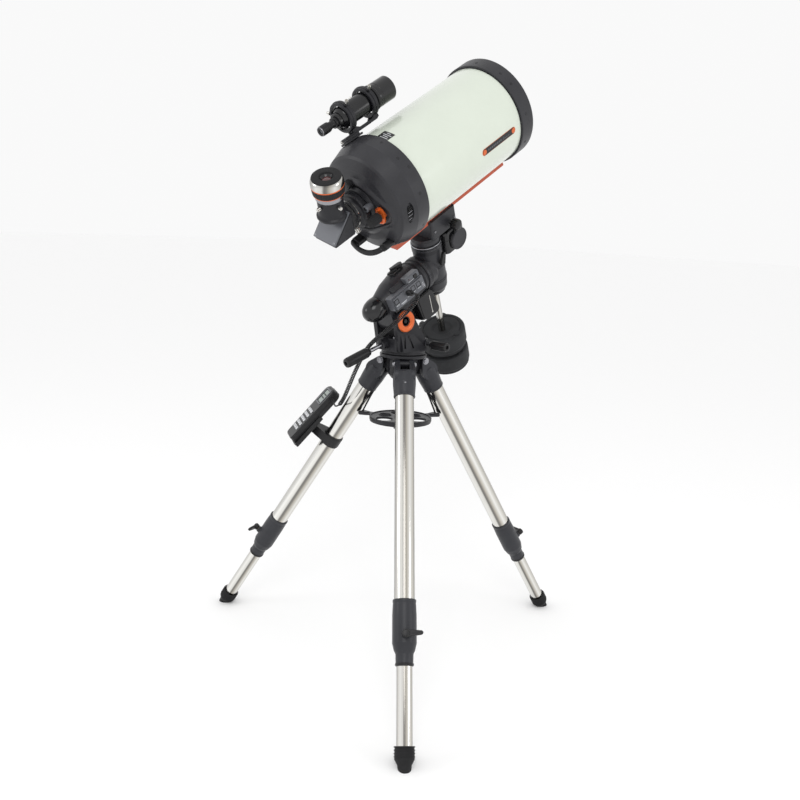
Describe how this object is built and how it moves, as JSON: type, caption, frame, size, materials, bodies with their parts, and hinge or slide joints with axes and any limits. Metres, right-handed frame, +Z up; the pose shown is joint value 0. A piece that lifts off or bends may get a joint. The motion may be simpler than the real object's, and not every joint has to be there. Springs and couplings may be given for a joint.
{
  "type": "catadioptric telescope",
  "caption": "Short closed-tube mirror telescope on a motorised equatorial mount with a folding tripod, counterweights, finder, star diagonal and a corded handset",
  "frame": {"origin": "on the floor, below the centre of the tripod", "axes": "+Z up, +Y north, the way the tube points over the ground, +X east"},
  "size_m": [1.0727, 1.0325, 1.6622],
  "materials": {
    "cast_black": "satin",
    "steel": "satin",
    "casting_grey": "satin",
    "leg_steel": "polished",
    "rubber": "matte",
    "black_plastic": "matte",
    "tray_black": "satin",
    "orange": "satin",
    "charcoal": "satin",
    "cover_black": "satin",
    "panel_grey": "satin",
    "tube_pearl": "gloss",
    "glass": "coated",
    "mirror": "polished",
    "weight_iron": "rough",
    "handset_black": "matte",
    "key_silver": "satin",
    "cord_black": "satin"
  },
  "bodies": {
    "tripod_head": {"tripod_head": "cast_black", "head_fasteners": "steel"},
    "tray": {"spreader_tray": "tray_black"},
    "tray_knob": {"tray_knob": "black_plastic"},
    "north_leg": {"north_leg_castings": "casting_grey", "north_upper_tube": "leg_steel"},
    "north_extension": {"north_lower_tube": "leg_steel", "north_foot": "rubber"},
    "north_lock": {"north_lock_knob": "black_plastic"},
    "southeast_leg": {"southeast_leg_castings": "casting_grey", "southeast_upper_tube": "leg_steel"},
    "southeast_extension": {"southeast_lower_tube": "leg_steel", "southeast_foot": "rubber"},
    "southeast_lock": {"southeast_lock_knob": "black_plastic"},
    "southwest_leg": {"southwest_leg_castings": "casting_grey", "southwest_upper_tube": "leg_steel", "handset_holder": "black_plastic"},
    "southwest_extension": {"southwest_lower_tube": "leg_steel", "southwest_foot": "rubber"},
    "southwest_lock": {"southwest_lock_knob": "black_plastic"},
    "base": {"mount_base": "cast_black", "latitude_rings": "orange", "latitude_axle": "steel", "handset_cord": "cord_black"},
    "azimuth_east": {"azimuth_knob_east": "black_plastic"},
    "azimuth_west": {"azimuth_knob_west": "black_plastic"},
    "latitude_screw": {"latitude_screw": "black_plastic"},
    "polar_unit": {"polar_housing": "charcoal", "control_panel": "panel_grey", "polar_drive_cover": "cover_black", "cord_plug": "cord_black"},
    "polar_clutch": {"polar_clutch": "black_plastic"},
    "turning_head": {"polar_shaft": "steel", "dec_housing": "charcoal", "dec_motor_cover": "cover_black", "counterweight_bar": "steel"},
    "dec_clutch": {"dec_clutch": "black_plastic"},
    "dec_head": {"dec_shaft": "steel", "saddle": "charcoal"},
    "saddle_knob": {"saddle_knob": "black_plastic"},
    "telescope": {"dovetail_bar": "orange", "optical_tube": "tube_pearl", "front_cell": "charcoal", "rear_cell": "charcoal", "corrector_plate": "glass", "secondary_mirror": "cover_black", "baffle_tube": "cover_black", "focuser_plate": "orange", "carry_handle": "charcoal", "visual_back": "charcoal", "finder_scope": "cover_black", "finder_bracket": "charcoal"},
    "focus_knob": {"focus_knob": "black_plastic"},
    "mirror": {"primary_mirror": "mirror"},
    "diagonal": {"diagonal": "charcoal"},
    "eyepiece": {"eyepiece": "cover_black"},
    "weight_upper": {"counterweight_upper": "weight_iron"},
    "weight_lower": {"counterweight_lower": "weight_iron"},
    "handset": {"handset_case": "handset_black"},
    "keys": {"handset_keys": "key_silver"}
  },
  "joints": [
    {"name": "tray_slide", "type": "slide", "parent": "tripod_head", "child": "tray", "axis": [0, 0, 1], "range_m": [-0.03, 0]},
    {"name": "tray_knob_turn", "type": "hinge", "parent": "tray", "child": "tray_knob", "pos_m": [0, 0, 0.67], "axis": [0, 0, 1], "continuous": true},
    {"name": "north_fold", "type": "hinge", "parent": "tripod_head", "child": "north_leg", "pos_m": [0.00807, 0.05744, 0.855], "axis": [-0.9903, 0.1392, 0], "range_deg": [0, 4]},
    {"name": "north_extend", "type": "slide", "parent": "north_leg", "child": "north_extension", "axis": [0.075, 0.5337, -0.8424], "range_m": [-0.18, 0.19]},
    {"name": "north_lock_turn", "type": "hinge", "parent": "north_leg", "child": "north_lock", "pos_m": [0.06177, 0.43954, 0.25187], "axis": [0.1172, 0.8342, 0.5389], "range_deg": [-90, 90]},
    {"name": "southeast_fold", "type": "hinge", "parent": "tripod_head", "child": "southeast_leg", "pos_m": [0.04571, -0.03571, 0.855], "axis": [0.6157, 0.788, 0], "range_deg": [0, 4]},
    {"name": "southeast_extend", "type": "slide", "parent": "southeast_leg", "child": "southeast_extension", "axis": [0.4247, -0.3318, -0.8424], "range_m": [-0.18, 0.19]},
    {"name": "southeast_lock_turn", "type": "hinge", "parent": "southeast_leg", "child": "southeast_lock", "pos_m": [0.34977, -0.27327, 0.25187], "axis": [0.6638, -0.5186, 0.5389], "range_deg": [-90, 90]},
    {"name": "southwest_fold", "type": "hinge", "parent": "tripod_head", "child": "southwest_leg", "pos_m": [-0.05378, -0.02173, 0.855], "axis": [0.3746, -0.9272, 0], "range_deg": [0, 4], "deforming": ["handset_cord"]},
    {"name": "southwest_extend", "type": "slide", "parent": "southwest_leg", "child": "southwest_extension", "axis": [-0.4997, -0.2019, -0.8424], "range_m": [-0.18, 0.19]},
    {"name": "southwest_lock_turn", "type": "hinge", "parent": "southwest_leg", "child": "southwest_lock", "pos_m": [-0.41154, -0.16627, 0.25187], "axis": [-0.781, -0.3156, 0.5389], "range_deg": [-90, 90]},
    {"name": "azimuth", "type": "hinge", "parent": "tripod_head", "child": "base", "pos_m": [0, 0, 0.88], "axis": [0, 0, 1], "range_deg": [-5, 5], "deforming": ["handset_cord"]},
    {"name": "azimuth_east_turn", "type": "hinge", "parent": "base", "child": "azimuth_east", "pos_m": [0, 0.042, 0.906], "axis": [1, 0, 0], "continuous": true},
    {"name": "azimuth_west_turn", "type": "hinge", "parent": "base", "child": "azimuth_west", "pos_m": [0, 0.042, 0.906], "axis": [-1, 0, 0], "continuous": true},
    {"name": "latitude_screw_turn", "type": "hinge", "parent": "base", "child": "latitude_screw", "pos_m": [0, -0.07, 0.908], "axis": [0, -0.9426, -0.3338], "continuous": true},
    {"name": "latitude", "type": "hinge", "parent": "base", "child": "polar_unit", "pos_m": [0, -0.042, 0.972], "axis": [1, 0, 0], "range_deg": [-10, 25], "deforming": ["handset_cord"]},
    {"name": "polar_clutch_turn", "type": "hinge", "parent": "polar_unit", "child": "polar_clutch", "pos_m": [0, 0.00189, 1.06907], "axis": [0, -0.5299, 0.848], "range_deg": [-40, 40]},
    {"name": "polar_axis", "type": "hinge", "parent": "polar_unit", "child": "turning_head", "pos_m": [0, 0.085, 1.121], "axis": [0, 0.848, 0.5299], "range_deg": [-105, 75]},
    {"name": "dec_clutch_turn", "type": "hinge", "parent": "turning_head", "child": "dec_clutch", "pos_m": [0.00569, 0.07374, 1.13902], "axis": [0.9659, 0.1372, -0.2195], "range_deg": [-40, 40]},
    {"name": "declination_axis", "type": "hinge", "parent": "turning_head", "child": "dec_head", "pos_m": [0, 0.085, 1.121], "axis": [0.2588, -0.5119, 0.8192], "continuous": true},
    {"name": "saddle_knob_turn", "type": "hinge", "parent": "dec_head", "child": "saddle_knob", "pos_m": [0.02899, 0.08025, 1.2456], "axis": [0.9659, 0.1372, -0.2195], "continuous": true},
    {"name": "dovetail_slide", "type": "slide", "parent": "dec_head", "child": "telescope", "axis": [0, 0.848, 0.5299], "range_m": [-0.04, 0.04]},
    {"name": "focus_knob_turn", "type": "hinge", "parent": "telescope", "child": "focus_knob", "pos_m": [0.14938, -0.22684, 1.2464], "axis": [0, -0.848, -0.5299], "range_deg": [-1800, 1800]},
    {"name": "mirror_slide", "type": "slide", "parent": "telescope", "child": "mirror", "axis": [0, 0.848, 0.5299], "range_m": [-0.005, 0.005]},
    {"name": "diagonal_turn", "type": "hinge", "parent": "telescope", "child": "diagonal", "pos_m": [0.07842, -0.31348, 1.21712], "axis": [0, 0.848, 0.5299], "continuous": true},
    {"name": "eyepiece_slide", "type": "slide", "parent": "diagonal", "child": "eyepiece", "axis": [0.3746, -0.4913, 0.7863], "range_m": [0, 0.06]},
    {"name": "weight_upper_slide", "type": "slide", "parent": "turning_head", "child": "weight_upper", "axis": [0.2588, -0.5119, 0.8192], "range_m": [0, 0.11]},
    {"name": "weight_lower_slide", "type": "slide", "parent": "turning_head", "child": "weight_lower", "axis": [0.2588, -0.5119, 0.8192], "range_m": [-0.02, 0.004]},
    {"name": "handset_lift", "type": "slide", "parent": "southwest_leg", "child": "handset", "axis": [0.3177, 0.5745, 0.7543], "range_m": [0, 0.12], "deforming": ["handset_cord"]},
    {"name": "key_press", "type": "slide", "parent": "handset", "child": "keys", "axis": [0.2939, 0.6967, -0.6544], "range_m": [0, 0.001], "stiffness_N_per_m": 600, "springref_m": -0.002}
  ],
  "couplings": [
    {"joint": "north_fold", "follows": "tray_slide", "rad_per_m": -2.327},
    {"joint": "southeast_fold", "follows": "tray_slide", "rad_per_m": -2.327},
    {"joint": "southwest_fold", "follows": "tray_slide", "rad_per_m": -2.327},
    {"joint": "focus_knob_turn", "follows": "mirror_slide", "rad_per_m": 6280}
  ]
}
